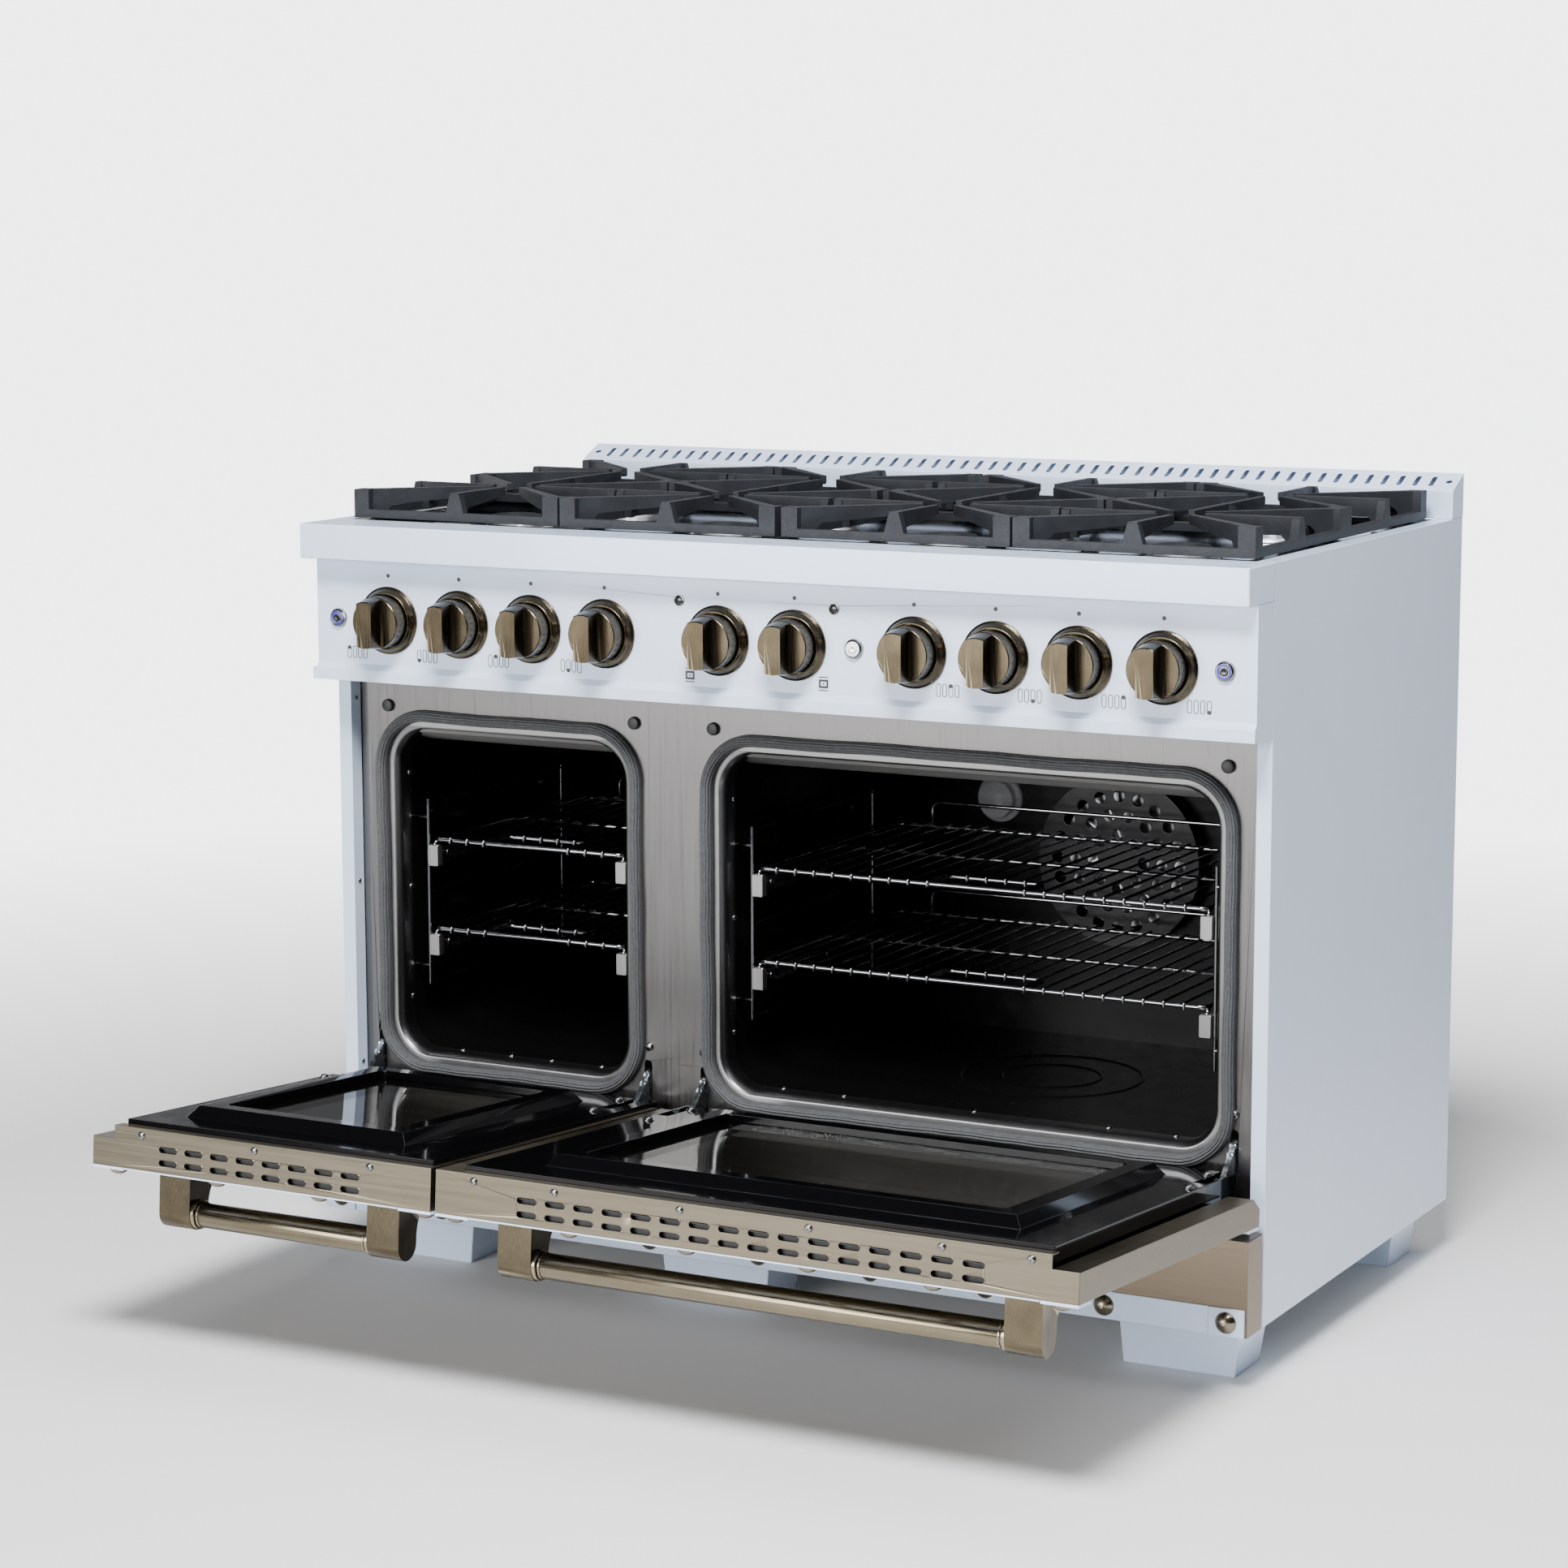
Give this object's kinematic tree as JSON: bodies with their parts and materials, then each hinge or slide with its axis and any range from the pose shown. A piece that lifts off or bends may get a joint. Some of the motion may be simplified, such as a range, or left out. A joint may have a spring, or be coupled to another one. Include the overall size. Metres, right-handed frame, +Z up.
{
  "type": "freestanding gas range",
  "caption": "Wide freestanding gas range with sealed burners, cast grates, two ovens with drop-down doors, pull-out racks, control knobs and push buttons.",
  "frame": {"origin": "on the floor under the middle of the whole outline with both doors open", "axes": "+X to the right as seen from the front, +Y to the back (the doors and knobs face -Y), +Z up"},
  "size_m": [1.216, 1.1281, 0.967],
  "materials": {
    "white_enamel": "gloss",
    "champagne_steel": "brushed, warm champagne tint",
    "frame_steel": "brushed",
    "zinc_steel": "galvanised, dull",
    "black_enamel": "high gloss",
    "dark_enamel": "gloss",
    "cast_iron": "matt enamelled, grainy",
    "antique_brass": "antiqued satin",
    "chrome_wire": "bright",
    "button_steel": "satin",
    "hinge_zinc": "zinc plated",
    "valve_brass": "plain",
    "burner_aluminium": "satin",
    "fan_steel": "satin",
    "lamp_glass": "clear, ribbed",
    "door_glass": "tinted",
    "gasket_braid": "woven glass-fibre rope"
  },
  "bodies": {
    "range_body": {"side_panel_left": "white_enamel", "side_panel_right": "white_enamel", "back_panel": "zinc_steel", "base_frame": "zinc_steel", "front_frame": "frame_steel", "oven_liner_left": "black_enamel", "oven_liner_right": "black_enamel", "oven_gaskets": "gasket_braid", "cooktop": "black_enamel", "front_rail": "white_enamel", "control_panel": "white_enamel", "backguard": "white_enamel", "kick_panel": "champagne_steel", "base_rail": "white_enamel", "base_studs": "antique_brass", "feet": "white_enamel", "knob_bezels": "antique_brass", "burner_bases": "burner_aluminium", "burner_caps": "cast_iron", "rack_supports": "chrome_wire", "fan_cover": "dark_enamel", "oven_lamps": "lamp_glass", "hinge_arms": "hinge_zinc", "gas_manifold": "valve_brass", "grate_1": "cast_iron", "grate_2": "cast_iron", "grate_3": "cast_iron", "grate_4": "cast_iron"},
    "door_left": {"door_skin_left": "champagne_steel", "door_liner_left": "black_enamel", "door_glass_left": "door_glass", "door_trim_left": "white_enamel", "door_studs_left": "antique_brass", "handle_bar_left": "antique_brass", "handle_posts_left": "antique_brass"},
    "rack_left_upper": {"rack_left_upper": "chrome_wire"},
    "rack_left_lower": {"rack_left_lower": "chrome_wire"},
    "door_right": {"door_skin_right": "champagne_steel", "door_liner_right": "black_enamel", "door_glass_right": "door_glass", "door_trim_right": "white_enamel", "door_studs_right": "antique_brass", "handle_bar_right": "antique_brass", "handle_posts_right": "antique_brass"},
    "rack_right_upper": {"rack_right_upper": "chrome_wire"},
    "rack_right_lower": {"rack_right_lower": "chrome_wire"},
    "knob_1": {"knob_1": "antique_brass"},
    "knob_2": {"knob_2": "antique_brass"},
    "knob_3": {"knob_3": "antique_brass"},
    "knob_4": {"knob_4": "antique_brass"},
    "knob_5": {"knob_5": "antique_brass"},
    "knob_6": {"knob_6": "antique_brass"},
    "knob_7": {"knob_7": "antique_brass"},
    "knob_8": {"knob_8": "antique_brass"},
    "knob_9": {"knob_9": "antique_brass"},
    "knob_10": {"knob_10": "antique_brass"},
    "button_light_left": {"button_light_left": "button_steel"},
    "button_light_right": {"button_light_right": "button_steel"},
    "button_fan": {"button_fan": "button_steel"},
    "convection_fan": {"convection_fan": "fan_steel"}
  },
  "joints": [
    {"name": "door_left_hinge", "type": "hinge", "parent": "range_body", "child": "door_left", "pos_m": [-0.381, -0.0707, 0.2201], "axis": [1, 0, 0], "range_deg": [-85.6, 0]},
    {"name": "door_right_hinge", "type": "hinge", "parent": "range_body", "child": "door_right", "pos_m": [0.23, -0.0707, 0.2201], "axis": [1, 0, 0], "range_deg": [-85.6, 0]},
    {"name": "rack_left_upper_slide", "type": "slide", "parent": "range_body", "child": "rack_left_upper", "axis": [0, -1, 0], "range_m": [0, 0.28]},
    {"name": "rack_left_lower_slide", "type": "slide", "parent": "range_body", "child": "rack_left_lower", "axis": [0, -1, 0], "range_m": [0, 0.28]},
    {"name": "rack_right_upper_slide", "type": "slide", "parent": "range_body", "child": "rack_right_upper", "axis": [0, -1, 0], "range_m": [0, 0.28]},
    {"name": "rack_right_lower_slide", "type": "slide", "parent": "range_body", "child": "rack_right_lower", "axis": [0, -1, 0], "range_m": [0, 0.28]},
    {"name": "knob_1_turn", "type": "hinge", "parent": "range_body", "child": "knob_1", "pos_m": [-0.5, -0.135, 0.7995], "axis": [0, -1, 0], "range_deg": [0, 270]},
    {"name": "knob_2_turn", "type": "hinge", "parent": "range_body", "child": "knob_2", "pos_m": [-0.4, -0.135, 0.7995], "axis": [0, -1, 0], "range_deg": [0, 270]},
    {"name": "knob_3_turn", "type": "hinge", "parent": "range_body", "child": "knob_3", "pos_m": [-0.3, -0.135, 0.7995], "axis": [0, -1, 0], "range_deg": [0, 270]},
    {"name": "knob_4_turn", "type": "hinge", "parent": "range_body", "child": "knob_4", "pos_m": [-0.2, -0.135, 0.7995], "axis": [0, -1, 0], "range_deg": [0, 270]},
    {"name": "knob_5_turn", "type": "hinge", "parent": "range_body", "child": "knob_5", "pos_m": [-0.0495, -0.135, 0.7995], "axis": [0, -1, 0], "range_deg": [0, 270]},
    {"name": "knob_6_turn", "type": "hinge", "parent": "range_body", "child": "knob_6", "pos_m": [0.0495, -0.135, 0.7995], "axis": [0, -1, 0], "range_deg": [0, 270]},
    {"name": "knob_7_turn", "type": "hinge", "parent": "range_body", "child": "knob_7", "pos_m": [0.2, -0.135, 0.7995], "axis": [0, -1, 0], "range_deg": [0, 270]},
    {"name": "knob_8_turn", "type": "hinge", "parent": "range_body", "child": "knob_8", "pos_m": [0.3, -0.135, 0.7995], "axis": [0, -1, 0], "range_deg": [0, 270]},
    {"name": "knob_9_turn", "type": "hinge", "parent": "range_body", "child": "knob_9", "pos_m": [0.4, -0.135, 0.7995], "axis": [0, -1, 0], "range_deg": [0, 270]},
    {"name": "knob_10_turn", "type": "hinge", "parent": "range_body", "child": "knob_10", "pos_m": [0.5, -0.135, 0.7995], "axis": [0, -1, 0], "range_deg": [0, 270]},
    {"name": "button_light_left_press", "type": "slide", "parent": "range_body", "child": "button_light_left", "axis": [0, 1, 0], "range_m": [0, 0.0025], "stiffness_N_per_m": 300, "springref_m": -0.001},
    {"name": "button_light_right_press", "type": "slide", "parent": "range_body", "child": "button_light_right", "axis": [0, 1, 0], "range_m": [0, 0.0025], "stiffness_N_per_m": 300, "springref_m": -0.001},
    {"name": "button_fan_press", "type": "slide", "parent": "range_body", "child": "button_fan", "axis": [0, 1, 0], "range_m": [0, 0.0025], "stiffness_N_per_m": 300, "springref_m": -0.001},
    {"name": "convection_fan_spin", "type": "hinge", "parent": "range_body", "child": "convection_fan", "pos_m": [0.2265, 0.43, 0.484], "axis": [0, -1, 0], "continuous": true}
  ]
}
